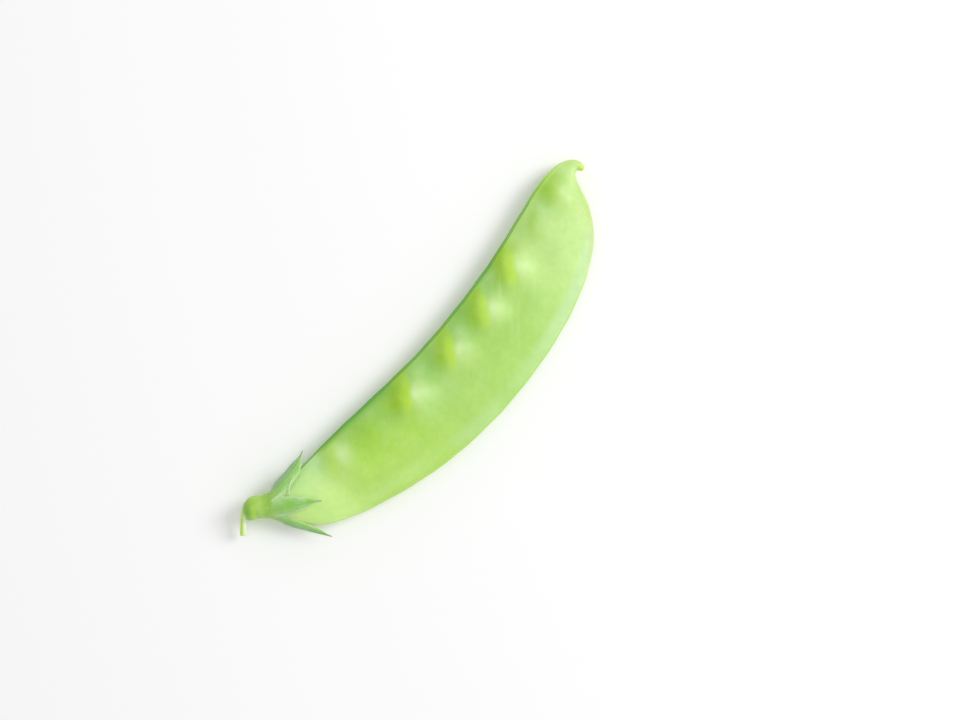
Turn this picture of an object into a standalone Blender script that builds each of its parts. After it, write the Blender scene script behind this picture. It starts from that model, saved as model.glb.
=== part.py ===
"""A snow pea pod, picked with its calyx and stalk, lying on one flat side.

The pod grows along +X from its stalk to its beak. Its seed suture, the nearly straight edge
that the peas hang from, is on the +Y side, and its belly, the rounded edge, is on the -Y side.
Every piece is drawn in millimetres with the pod's middle plane on z = 0. One empty then lays
them all on the table, with the origin on the table under the middle of the whole pod.
"""

import math

import bmesh
import bpy
import numpy as np
from mathutils import Matrix, Vector

MM = 0.001

# The pod's outline, stalk to beak: a point on the seed suture, the point across from it on
# the belly, and half the thickness between them.
POD_STATIONS = [
    ((0.45, 0.79), (-0.27, -0.05), 0.50),
    ((1.68, 0.38), (0.30, -1.20), 0.90),
    ((2.90, -0.15), (0.95, -2.30), 1.15),
    ((4.60, -0.25), (2.20, -5.00), 1.40),
    ((7.40, -0.35), (4.60, -9.40), 1.60),
    ((11.8, -0.35), (9.40, -12.8), 1.90),
    ((19.0, -0.50), (17.5, -16.15), 2.20),
    ((29.0, -1.10), (28.5, -19.05), 2.40),
    ((40.0, -1.60), (40.0, -20.2), 2.50),
    ((51.0, -1.10), (51.5, -19.75), 2.45),
    ((61.5, 0.15), (62.5, -17.9), 2.30),
    ((70.5, 1.90), (71.5, -14.5), 2.00),
    ((77.0, 3.25), (78.0, -10.1), 1.60),
    ((81.0, 3.55), (81.4, -5.60), 1.25),
    ((83.4, 3.10), (82.7, -2.50), 1.00),
    ((85.0, 2.20), (83.7, -0.80), 0.80),
    ((86.1, 0.95), (84.6, 0.00), 0.60),
    ((86.2, -0.10), (85.1, -0.15), 0.50),
    ((85.9, -0.75), (85.3, -0.65), 0.35),
]
POD_RINGS = 54  # the shape is resampled to this many rings, of this many points
POD_SIDES = 20
LENS = 1.35  # across the pod: 1 is an ellipse, more is a lens with thinner edges
BOW = 0.6  # how far the middle of the pod arches above its ends
TWIST_DEG = 5.0  # how far the beak has turned about the pod's length, against the stalk

# The peas swell both sides of the pod: x, y, height and radius.
PEAS = [
    (16.5, -4.2, 0.55, 3.6),
    (25.0, -5.3, 0.45, 3.2),
    (34.1, -6.1, 1.30, 3.5),
    (45.2, -5.8, 1.25, 3.4),
    (54.8, -5.3, 1.10, 3.3),
    (64.4, -4.6, 1.15, 3.4),
    (72.5, -2.6, 0.35, 2.8),
    (78.6, -0.6, 0.50, 3.0),
]

PEA_SOFTNESS = 0.4  # a smaller number gives a swelling with steeper sides

# The stalk swells into the receptacle under the calyx, then bends sharply down to a thin
# pedicel. Points on the outer and the inner side of the bend.
STALK_STATIONS = [
    ((1.21, 2.20), (-1.56, -1.00)),
    ((0.80, 2.48), (-1.82, -0.84)),
    ((-0.04, 2.79), (-2.45, -0.59)),
    ((-1.33, 2.64), (-3.04, 0.00)),
    ((-2.71, 2.06), (-3.34, 0.39)),
    ((-3.61, 1.60), (-3.62, 0.38)),
    ((-4.47, 1.09), (-3.94, 0.21)),
    ((-5.59, 0.24), (-5.00, -0.59)),
    ((-6.28, -0.35), (-5.76, -1.11)),
]
STALK_RINGS = 22
STALK_SIDES = 14
STALK_DROP = 1.5  # how far the cut end of the stalk hangs below the pod's middle plane

# The calyx tube is a collar round the pod's base, open towards the pod.
CALYX_MOUTH = Vector((1.75, -1.07, 0.0))
CALYX_AXIS = Vector((0.756, -0.655, 0.0)).normalized()
# Round the section of the collar's wall: distance along the axis from the mouth, and radius.
CALYX_WALL = [(-2.2, 2.11), (-1.0, 2.06), (0.0, 2.20), (0.05, 1.80), (-1.0, 1.64), (-2.2, 1.66)]
CALYX_SIDES = 20

# The sepals: degrees round the calyx from the seed suture (90 is up), the tip, how far the
# middle bulges outwards, and the greatest width.
SEPALS = {
    "sepal_suture_top": (37, (12.4, 1.5, 2.0), 1.0, 2.7),
    "sepal_side_top": (106, (8.5, -7.3, 3.5), 0.8, 3.2),
    "sepal_belly": (180, (4.6, -12.3, 0.4), 1.45, 2.9),
    "sepal_side_under": (-108, (8.9, -6.8, -2.65), 0.6, 3.0),
    "sepal_suture_under": (-36, (11.2, 2.0, -1.9), 1.0, 2.7),
}
SEPAL_BASE_ALONG = 0.42  # a sepal's base, along the calyx axis from the mouth and out from it
SEPAL_BASE_OUT = 2.1
SEPAL_THICKNESS = 0.36
SEPAL_BASE_WIDTH = 1.6
SEPAL_TIP_WIDTH = 0.28
SEPAL_STRAIGHT = 1.0  # how far a sepal follows the calyx before it bends to its own way
SEPAL_CUP = 0.3  # how far a sepal's edges curl in towards the pod, per half width
SEPAL_WIDEST = 0.33  # where along it a sepal is widest
SEPAL_RINGS = 11
SEPAL_ACROSS = 6

# The withered stamens: threads that curl out of the calyx over the pod.
THREADS = {
    "stamen_near_suture": [(4.5, -1.75, 2.0), (5.3, -1.75, 2.3), (6.1, -1.65, 2.35), (6.9, -1.4, 2.2)],
    "stamen_middle": [(6.0, -3.0, 2.2), (6.6, -2.45, 2.3), (7.7, -2.0, 2.2), (9.3, -1.5, 1.95)],
    "stamen_near_belly": [(2.7, -5.2, 2.0), (3.8, -6.15, 2.05), (5.1, -6.9, 2.15), (6.3, -7.4, 2.25)],
}
THREAD_RADIUS = 0.16

# How the pod comes to rest: on the peas near its beak, on its belly there, and on the tip of
# the sepal under it. The roll lifts the seed suture and the pitch lifts the stalk.
LIE_ROLL_DEG = 4.06
LIE_PITCH_DEG = 0.64


def make_material(name, color, roughness):
    material = bpy.data.materials.new(name)
    material.use_nodes = True
    shader = material.node_tree.nodes["Principled BSDF"]
    shader.inputs["Base Color"].default_value = (*color, 1.0)
    shader.inputs["Roughness"].default_value = roughness
    shader.inputs["Metallic"].default_value = 0.0
    return material


def smooth_through(knots, values, at):
    """Values at the parameters in at, on a smooth curve through values at the knots."""
    knots, values, at = np.asarray(knots), np.asarray(values, float), np.asarray(at)
    step = np.diff(knots)[:, None]
    slope = np.diff(values, axis=0) / step
    inner = (slope[1:] * step[:-1] + slope[:-1] * step[1:]) / (step[1:] + step[:-1])
    tangent = np.vstack([slope[:1], inner, slope[-1:]])
    i = np.clip(np.searchsorted(knots, at, side="right") - 1, 0, len(knots) - 2)
    h = step[i]
    t = ((at - knots[i]) / h[:, 0])[:, None]
    return (
        (2 * t**3 - 3 * t**2 + 1) * values[i]
        + (t**3 - 2 * t**2 + t) * h * tangent[i]
        + (3 * t**2 - 2 * t**3) * values[i + 1]
        + (t**3 - t**2) * h * tangent[i + 1]
    )


def resample(rows, count):
    """Rows of numbers, of which the first four are two points of an outline, resampled to
    count rows that lie closer together where the outline turns sharply."""
    rows = np.asarray(rows, float)
    middle = (rows[:, 0:2] + rows[:, 2:4]) / 2
    apart = np.linalg.norm(np.diff(middle, axis=0), axis=1)
    knots = np.concatenate([[0], np.cumsum(np.sqrt(apart))])
    return smooth_through(knots, rows, np.linspace(0, knots[-1], count))


def closed_tube(rings):
    """A closed solid through rings of points in millimetres, with a flat fan on each end."""
    bm = bmesh.new()
    made = [[bm.verts.new(Vector(p) * MM) for p in ring] for ring in rings]
    for lower, upper in zip(made, made[1:]):
        for i in range(len(lower)):
            j = (i + 1) % len(lower)
            bm.faces.new((lower[i], lower[j], upper[j], upper[i]))
    for ring, points in ((made[0], rings[0]), (made[-1], rings[-1])):
        hub = bm.verts.new(Vector(np.mean(np.array(points, float), axis=0)) * MM)
        for i in range(len(ring)):
            bm.faces.new((ring[i], ring[(i + 1) % len(ring)], hub))
    return bm


def add_mesh(name, bm, material, parent):
    bmesh.ops.recalc_face_normals(bm, faces=bm.faces)
    mesh = bpy.data.meshes.new(name)
    bm.to_mesh(mesh)
    bm.free()
    mesh.materials.append(material)
    mesh.shade_smooth()
    obj = bpy.data.objects.new(name, mesh)
    bpy.context.scene.collection.objects.link(obj)
    obj.parent = parent
    return obj


def pea_swelling(x, y):
    """How far the peas near (x, y) push each side of the pod out."""
    total = 0.0
    for pea_x, pea_y, height, radius in PEAS:
        apart = math.hypot(x - pea_x, y - pea_y) / radius
        total += height * math.exp(-apart * apart / PEA_SOFTNESS)
    return total


def make_pod(material, parent):
    """The pod with its two sutures and its beak, grown as one piece."""
    length = POD_STATIONS[-1][0][0]
    rings = []
    for sx, sy, bx, by, half_thick in resample([(*s, *b, t) for s, b, t in POD_STATIONS], POD_RINGS):
        middle = Vector(((sx + bx) / 2, (sy + by) / 2, 0))
        across = Vector((sx - bx, sy - by, 0)) / 2
        grown = min(1.0, max(0.0, middle.x / length))
        turn = Matrix.Rotation(math.radians(TWIST_DEG) * grown**1.5, 4, "X")
        arch = Vector((0, 0, BOW * math.sin(math.pi * grown)))
        ring = []
        for k in range(POD_SIDES):
            angle = 2 * math.pi * k / POD_SIDES
            flat = middle + across * math.cos(angle)
            lift = half_thick * abs(math.sin(angle)) ** LENS
            lift += pea_swelling(flat.x, flat.y) * math.sqrt(abs(math.sin(angle)))
            offset = across * math.cos(angle) + Vector((0, 0, math.copysign(lift, math.sin(angle))))
            ring.append(middle + turn @ offset + arch)
        rings.append(ring)
    return add_mesh("pod", closed_tube(rings), material, parent)


def make_stalk(material, parent):
    """The receptacle and the thin pedicel, one piece, bent towards the belly side."""
    rings = []
    rows = resample([(*outer, *inner) for outer, inner in STALK_STATIONS], STALK_RINGS)
    for n, (ox, oy, ix, iy) in enumerate(rows):
        middle = Vector(((ox + ix) / 2, (oy + iy) / 2, 0))
        across = Vector((ox - ix, oy - iy, 0)) / 2
        drop = Vector((0, 0, -STALK_DROP * (n / (STALK_RINGS - 1)) ** 2))
        up = Vector((0, 0, across.length))
        turns = [2 * math.pi * k / STALK_SIDES for k in range(STALK_SIDES)]
        rings.append([middle + drop + across * math.cos(a) + up * math.sin(a) for a in turns])
    return add_mesh("stalk", closed_tube(rings), material, parent)


def calyx_direction(degrees):
    """The direction out from the calyx axis: 0 is towards the seed suture and 90 is up."""
    to_suture = Vector((-CALYX_AXIS.y, CALYX_AXIS.x, 0))
    return to_suture * math.cos(math.radians(degrees)) + Vector((0, 0, math.sin(math.radians(degrees))))


def make_calyx_tube(material, parent):
    """The collar that the five sepals stand on."""
    bm = bmesh.new()
    loops = []
    for k in range(CALYX_SIDES):
        out = calyx_direction(360 * k / CALYX_SIDES)
        wall = [CALYX_MOUTH + CALYX_AXIS * along + out * radius for along, radius in CALYX_WALL]
        loops.append([bm.verts.new(p * MM) for p in wall])
    for k, loop in enumerate(loops):
        following = loops[(k + 1) % CALYX_SIDES]
        for i in range(len(loop)):
            j = (i + 1) % len(loop)
            bm.faces.new((loop[i], loop[j], following[j], following[i]))
    return add_mesh("calyx_tube", bm, material, parent)


def sepal_half_width(along, width):
    """A sepal widens from its base, then narrows to a fine point."""
    if along < SEPAL_WIDEST:
        swell = (1 - math.cos(math.pi * along / SEPAL_WIDEST)) / 2
        return (SEPAL_BASE_WIDTH + (width - SEPAL_BASE_WIDTH) * swell) / 2
    taper = math.cos(math.pi / 2 * (along - SEPAL_WIDEST) / (1 - SEPAL_WIDEST))
    return max(SEPAL_TIP_WIDTH, width * taper**0.9) / 2


def bezier(points, t):
    """The point at t and the direction there on a cubic curve."""
    a, b, c, d = points
    place = a * (1 - t) ** 3 + b * 3 * t * (1 - t) ** 2 + c * 3 * t * t * (1 - t) + d * t**3
    ahead = (b - a) * (1 - t) ** 2 + (c - b) * 2 * t * (1 - t) + (d - c) * t * t
    return place, ahead.normalized()


def make_sepal(name, degrees, tip, bulge, width, material, parent):
    out = calyx_direction(degrees)
    base = CALYX_MOUTH + CALYX_AXIS * SEPAL_BASE_ALONG + out * SEPAL_BASE_OUT
    tip = Vector(tip)
    route = (base, base + CALYX_AXIS * SEPAL_STRAIGHT, (base + tip * 2) / 3 + out * bulge, tip)
    rings = []
    for n in range(SEPAL_RINGS):
        t = n / (SEPAL_RINGS - 1)
        middle, forward = bezier(route, t)
        side = forward.cross(out).normalized()
        normal = side.cross(forward)
        half = sepal_half_width(t, width)
        thick = SEPAL_THICKNESS * (1 - 0.5 * t) / 2
        shares = [2 * k / SEPAL_ACROSS - 1 for k in range(SEPAL_ACROSS + 1)]
        curled = [middle + side * half * s - normal * SEPAL_CUP * half * s * s for s in shares]
        outer = [p + normal * thick for p in curled]
        inner = [p - normal * thick for p in curled]
        rings.append(outer + inner[::-1])
    return add_mesh(name, closed_tube(rings), material, parent)


def make_thread(name, route, material, parent):
    curve = bpy.data.curves.new(name, "CURVE")
    curve.dimensions = "3D"
    curve.bevel_depth = THREAD_RADIUS * MM
    curve.bevel_resolution = 1
    curve.resolution_u = 3
    curve.use_fill_caps = True
    spline = curve.splines.new("BEZIER")
    spline.bezier_points.add(len(route) - 1)
    for point, place in zip(spline.bezier_points, route):
        point.co = Vector(place) * MM
        point.handle_left_type = "AUTO"
        point.handle_right_type = "AUTO"
    curve.materials.append(material)
    obj = bpy.data.objects.new(name, curve)
    bpy.context.scene.collection.objects.link(obj)
    obj.parent = parent
    return obj


def lay_on_table(holder, pieces):
    """Tilts the holder to how the pod lies, then puts the origin on the table under it."""
    holder.rotation_euler = (math.radians(LIE_ROLL_DEG), math.radians(LIE_PITCH_DEG), 0)
    bpy.context.view_layer.update()
    graph = bpy.context.evaluated_depsgraph_get()
    points = []
    for piece in pieces:
        shape = piece.evaluated_get(graph)
        mesh = shape.to_mesh()
        points += [shape.matrix_world @ v.co for v in mesh.vertices]
        shape.to_mesh_clear()
    low, high = np.min(points, axis=0), np.max(points, axis=0)
    holder.location = (-(low[0] + high[0]) / 2, -(low[1] + high[1]) / 2, -low[2])


def main():
    for obj in list(bpy.data.objects):
        bpy.data.objects.remove(obj, do_unlink=True)
    pod_green = make_material("pod_skin", (0.45, 0.72, 0.16), 0.42)
    calyx_green = make_material("calyx_leaf", (0.25, 0.50, 0.20), 0.55)
    stalk_green = make_material("stalk_skin", (0.42, 0.64, 0.12), 0.50)
    dry_thread = make_material("dry_thread", (0.72, 0.78, 0.50), 0.60)

    holder = bpy.data.objects.new("lying_pod", None)
    bpy.context.scene.collection.objects.link(holder)
    pieces = [
        make_pod(pod_green, holder),
        make_stalk(stalk_green, holder),
        make_calyx_tube(calyx_green, holder),
    ]
    for name, route in THREADS.items():
        pieces.append(make_thread(name, route, dry_thread, holder))
    for name, (degrees, tip, bulge, width) in SEPALS.items():
        pieces.append(make_sepal(name, degrees, tip, bulge, width, calyx_green, holder))
    lay_on_table(holder, pieces)


main()
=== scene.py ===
import math

import bmesh
import bpy
import numpy as np
from mathutils import Matrix, Vector


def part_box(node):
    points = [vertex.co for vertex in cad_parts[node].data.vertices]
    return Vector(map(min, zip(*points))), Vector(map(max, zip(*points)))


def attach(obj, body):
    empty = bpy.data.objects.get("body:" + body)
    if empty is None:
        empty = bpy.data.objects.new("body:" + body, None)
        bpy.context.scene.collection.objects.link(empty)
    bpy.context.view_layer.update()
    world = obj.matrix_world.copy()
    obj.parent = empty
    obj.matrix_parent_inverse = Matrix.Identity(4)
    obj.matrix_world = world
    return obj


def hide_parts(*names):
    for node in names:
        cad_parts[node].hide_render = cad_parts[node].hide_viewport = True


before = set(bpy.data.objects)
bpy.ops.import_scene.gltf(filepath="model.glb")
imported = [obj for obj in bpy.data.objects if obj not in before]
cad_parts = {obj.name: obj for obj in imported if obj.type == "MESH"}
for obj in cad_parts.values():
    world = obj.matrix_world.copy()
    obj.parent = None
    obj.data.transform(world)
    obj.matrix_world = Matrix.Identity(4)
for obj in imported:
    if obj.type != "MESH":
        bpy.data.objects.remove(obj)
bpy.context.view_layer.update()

bpy.ops.object.select_all(action="DESELECT")
mm = 0.001
print("frame loaded")


# modelling helpers

def drawLine(name, points, closed=False):
    # a vertex at the first point, extruded to each of the others; edit mode stays on
    bpy.ops.mesh.primitive_plane_add(size=mm, location=points[0])
    piece = bpy.context.object
    piece.name = piece.data.name = name
    bpy.ops.object.transform_apply()
    bpy.ops.object.mode_set(mode="EDIT")
    bpy.ops.mesh.select_mode(type="VERT")
    bpy.ops.mesh.merge(type="CENTER")
    for here, there in zip(points, points[1:]):
        bpy.ops.mesh.extrude_vertices_move(TRANSFORM_OT_translate={"value": there - here})
    if closed:
        last = len(points) - 1
        selectVerts(piece, lambda v: v.index in (0, last))
        bpy.ops.mesh.edge_face_add()
    bpy.ops.mesh.select_all(action="SELECT")
    return piece


def selectVerts(piece, wanted):
    bpy.ops.mesh.select_all(action="DESELECT")
    mesh = bmesh.from_edit_mesh(piece.data)
    mesh.verts.index_update()
    for v in mesh.verts:
        v.select = wanted(v)
    mesh.select_flush(True)
    bmesh.update_edit_mesh(piece.data)


def station(centre, turn=None, width=1.0, height=1.0):
    # how an outline stands: its centre in mm, its turn as a matrix, its size across and up
    return {"centre": Vector(centre) * mm, "turn": turn or Matrix.Identity(3),
            "width": width, "height": height}


def turnSelected(matrix, centre):
    # with no window the rotate operator turns the other way, so the angles are negated
    for axis, angle in zip("XYZ", matrix.to_euler("XYZ")):
        if abs(angle) > 1e-6:
            bpy.ops.transform.rotate(value=-angle, orient_axis=axis, center_override=centre)


def turnBack(matrix, centre):
    for axis, angle in zip("ZYX", reversed(matrix.to_euler("XYZ"))):
        if abs(angle) > 1e-6:
            bpy.ops.transform.rotate(value=angle, orient_axis=axis, center_override=centre)


def moveOutline(last, now):
    turnBack(last["turn"], last["centre"])
    grow = (1, now["width"] / last["width"], now["height"] / last["height"])
    bpy.ops.transform.resize(value=grow, center_override=last["centre"])
    turnSelected(now["turn"], last["centre"])
    bpy.ops.transform.translate(value=now["centre"] - last["centre"])


def sweep(start, stations):
    for last, now in zip([start] + stations, stations):
        bpy.ops.mesh.extrude_edges_move()
        moveOutline(last, now)


def sweepDrawn(stations):
    # for an outline just drawn round the origin, facing along X, 1 mm in half width
    moveOutline(station((0, 0, 0)), stations[0])
    sweep(stations[0], stations[1:])


def closeEnds(piece, sides):
    # a face with a middle point on each open end of a swept ring
    count = len(bmesh.from_edit_mesh(piece.data).verts)
    for first in (0, count - sides):
        selectVerts(piece, lambda v: first <= v.index < first + sides)
        bpy.ops.mesh.edge_face_add()
        bpy.ops.mesh.poke()
    bpy.ops.mesh.select_all(action="SELECT")
    bpy.ops.mesh.normals_make_consistent(inside=False)


def useModifier(piece, kind, **settings):
    modifier = piece.modifiers.new(kind.title(), kind)
    for name, value in settings.items():
        setattr(modifier, name, value)
    bpy.ops.object.modifier_apply(modifier=modifier.name)


def subdivide(piece, levels):
    useModifier(piece, "SUBSURF", levels=levels, render_levels=levels)


def paintMask(piece, name, values):
    # a number on every vertex, which a material reads by its name
    mask = piece.data.attributes.new(name, "FLOAT", "POINT")
    mask.data.foreach_set("value", values)


def fade(value, low, high):
    # 0 at low, 1 at high, eased at both ends
    t = min(1.0, max(0.0, (value - low) / (high - low)))
    return t * t * (3 - 2 * t)


def throughStations(rows, count):
    # rows of numbers on one smooth curve, closer together where the outline turns sharply
    rows = np.array(rows, float)
    middle = (rows[:, 0:2] + rows[:, 2:4]) / 2
    apart = np.linalg.norm(np.diff(middle, axis=0), axis=1)
    knots = np.concatenate([[0], np.cumsum(np.sqrt(apart))])
    step = np.diff(knots)[:, None]
    slope = np.diff(rows, axis=0) / step
    inner = (slope[1:] * step[:-1] + slope[:-1] * step[1:]) / (step[1:] + step[:-1])
    tangent = np.vstack([slope[:1], inner, slope[-1:]])
    at = np.linspace(0, knots[-1], count)
    i = np.clip(np.searchsorted(knots, at, side="right") - 1, 0, len(knots) - 2)
    h = step[i]
    t = ((at - knots[i]) / h[:, 0])[:, None]
    ends = (2 * t**3 - 3 * t**2 + 1) * rows[i] + (3 * t**2 - 2 * t**3) * rows[i + 1]
    return ends + (t**3 - 2 * t**2 + t) * h * tangent[i] + (t**3 - t**2) * h * tangent[i + 1]


# how the whole thing lies on the table

lie = {"roll": 4.06, "pitch": 0.64, "shift": None}


def boxOf(piece):
    points = np.array([v.co for v in piece.data.vertices])
    return Vector(points.min(0)), Vector(points.max(0))


def layDown(piece):
    # from the plant's own axes to the table; the pod is laid first and sets the shift
    bpy.ops.object.select_all(action="DESELECT")
    piece.select_set(True)
    bpy.context.view_layer.objects.active = piece
    piece.rotation_euler = (math.radians(lie["roll"]), math.radians(lie["pitch"]), 0)
    bpy.ops.object.transform_apply(location=False, rotation=True, scale=False)
    if lie["shift"] is None:
        low, high = boxOf(piece)
        podLow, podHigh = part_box("pod")
        lie["shift"] = (podLow + podHigh - low - high) / 2
        lie["shift"].z = podLow.z - low.z  # the lowest point stays where the frame has it
    piece.location = lie["shift"]
    bpy.ops.object.transform_apply(location=True, rotation=False, scale=False)
    piece.select_set(False)


def finishPiece(piece, nodes, material):
    bpy.ops.object.mode_set(mode="OBJECT")
    bpy.ops.object.shade_smooth()
    layDown(piece)
    piece.data.materials.clear()
    piece.data.materials.append(material)
    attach(piece, "root")
    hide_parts(*nodes)


# material helpers

def addNode(tree, kind, feeds, **settings):
    node = tree.nodes.new(kind)
    for name, value in settings.items():
        setattr(node, name, value)
    for name, value in feeds.items():
        if isinstance(value, bpy.types.NodeSocket):
            tree.links.new(value, node.inputs[name])
        else:
            node.inputs[name].default_value = value
    return node


def number(tree, operation, first, second=0.0):
    node = addNode(tree, "ShaderNodeMath", {0: first, 1: second}, operation=operation)
    return node.outputs[0]


def mixNumbers(tree, share, first, second):
    kept = number(tree, "MULTIPLY", first, 1.0 - share)
    return number(tree, "ADD", kept, number(tree, "MULTIPLY", second, share))


def ramp(tree, value, low, high, start=0.0, end=1.0):
    # start below low, end above high, eased between
    feeds = {"Value": value, "From Min": low, "From Max": high, "To Min": start, "To Max": end}
    return addNode(tree, "ShaderNodeMapRange", feeds, interpolation_type="SMOOTHSTEP").outputs[0]


def band(tree, value, rise, top, fall, end):
    # a hump: 0 up to rise, 1 from top to fall, 0 past end
    falling = ramp(tree, value, fall, end, 1.0, 0.0)
    return number(tree, "MULTIPLY", ramp(tree, value, rise, top), falling)


def zone(tree, value, edges):
    # two edges: 0 at the first and 1 at the second; four edges: a hump
    return ramp(tree, value, *edges) if len(edges) == 2 else band(tree, value, *edges)


def mixColors(tree, factor, first, second, blend="MIX"):
    first = first if isinstance(first, bpy.types.NodeSocket) else (*first, 1)
    second = second if isinstance(second, bpy.types.NodeSocket) else (*second, 1)
    feeds = {0: factor, 6: first, 7: second}
    return addNode(tree, "ShaderNodeMix", feeds, data_type="RGBA", blend_type=blend).outputs[2]


def maskOf(tree, name):
    return addNode(tree, "ShaderNodeAttribute", {}, attribute_name=name).outputs["Fac"]


def noise(tree, place, scale, detail=2.0, rough=0.5):
    feeds = {"Vector": place, "Scale": scale, "Detail": detail, "Roughness": rough}
    return addNode(tree, "ShaderNodeTexNoise", feeds).outputs["Fac"]


def newGroup(name, inputs, outputs):
    group = bpy.data.node_groups.new(name, "ShaderNodeTree")
    kinds = {"Color": "NodeSocketColor", "Vector": "NodeSocketVector"}
    for direction, names in (("INPUT", inputs), ("OUTPUT", outputs)):
        for socket in names:
            kind = kinds.get(socket, "NodeSocketFloat")
            group.interface.new_socket(name=socket, in_out=direction, socket_type=kind)
    given = group.nodes.new("NodeGroupInput").outputs
    return group, given, group.nodes.new("NodeGroupOutput").inputs


def useGroup(tree, group, feeds):
    return addNode(tree, "ShaderNodeGroup", feeds, node_tree=group).outputs


def makeCloudyTint():
    # soft uneven depth of colour, as plant skin has: large clouds with small ones inside them,
    # and the brighter places a little yellower and paler
    tree, given, wanted = newGroup("cloudyTint", ["Color", "Vector", "Scale", "Amount"], ["Color"])
    large = noise(tree, given["Vector"], given["Scale"], 2.0)
    small = noise(tree, given["Vector"], number(tree, "MULTIPLY", given["Scale"], 5.3), 3.0, 0.6)
    both = mixNumbers(tree, 0.35, large, small)
    swing = number(tree, "MULTIPLY", number(tree, "SUBTRACT", both, 0.5), given["Amount"])
    bright = addNode(tree, "ShaderNodeHueSaturation", {
        "Color": given["Color"],
        "Hue": number(tree, "ADD", 0.5, number(tree, "MULTIPLY", swing, -0.035)),
        "Saturation": number(tree, "ADD", 1.0, number(tree, "MULTIPLY", swing, -0.5)),
        "Value": number(tree, "ADD", 1.0, swing)})
    tree.links.new(bright.outputs["Color"], wanted["Color"])
    return tree


def makeFineGrain():
    # the cells of plant skin and its faint net of veins: a height, and the veins as a mask
    inputs = ["Vector", "Cell Scale", "Vein Scale", "Vein Share"]
    tree, given, wanted = newGroup("fineGrain", inputs, ["Height", "Veins"])
    cells = noise(tree, given["Vector"], given["Cell Scale"], 2.0, 0.6)
    # the net's lines are bent by a slower noise, up to about a millimetre
    slower = number(tree, "MULTIPLY", given["Vein Scale"], 0.6)
    bent = addNode(tree, "ShaderNodeTexNoise", {
        "Vector": given["Vector"], "Scale": slower, "Detail": 1.0}).outputs["Color"]
    shift = addNode(tree, "ShaderNodeVectorMath", {0: bent, "Scale": 1.2 * mm}, operation="SCALE")
    place = addNode(tree, "ShaderNodeVectorMath", {
        0: given["Vector"], 1: shift.outputs[0]}, operation="ADD")
    net = addNode(tree, "ShaderNodeTexVoronoi", {
        "Vector": place.outputs[0], "Scale": given["Vein Scale"]}, feature="DISTANCE_TO_EDGE")
    veins = ramp(tree, net.outputs["Distance"], 0.0, 0.09, 1.0, 0.0)
    raised = number(tree, "MULTIPLY", veins, given["Vein Share"])
    height = number(tree, "ADD", number(tree, "MULTIPLY", cells, 0.5), raised)
    tree.links.new(height, wanted["Height"])
    tree.links.new(veins, wanted["Veins"])
    return tree


cloudyTint = makeCloudyTint()
fineGrain = makeFineGrain()


def clouded(tree, place, color, clouds):
    return useGroup(tree, cloudyTint, {"Color": color, "Vector": place, **clouds})["Color"]


def tinted(tree, color, tint, share, masks):
    for mask in masks:
        share = number(tree, "MULTIPLY", mask, share)
    return mixColors(tree, share, color, tint)


def newSkin(name, settings):
    # a plant skin: what is set here is the same all over, and feedShader links the rest
    material = bpy.data.materials.new(name)
    material.use_nodes = True
    tree = material.node_tree
    shader = tree.nodes["Principled BSDF"]
    shader.inputs["Subsurface Radius"].default_value = (0.6, 1.0, 0.25)  # light goes on in green
    for socket, value in settings.items():
        shader.inputs[socket].default_value = value
    place = tree.nodes.new("ShaderNodeTexCoord").outputs["Object"]
    return material, tree, shader, place


def feedShader(tree, shader, color, height, depth, roughness=None):
    bump = addNode(tree, "ShaderNodeBump", {"Height": height, "Distance": depth, "Strength": 1.0})
    tree.links.new(bump.outputs["Normal"], shader.inputs["Normal"])
    tree.links.new(color, shader.inputs["Base Color"])
    if roughness:
        tree.links.new(roughness, shader.inputs["Roughness"])


# the pod

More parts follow.
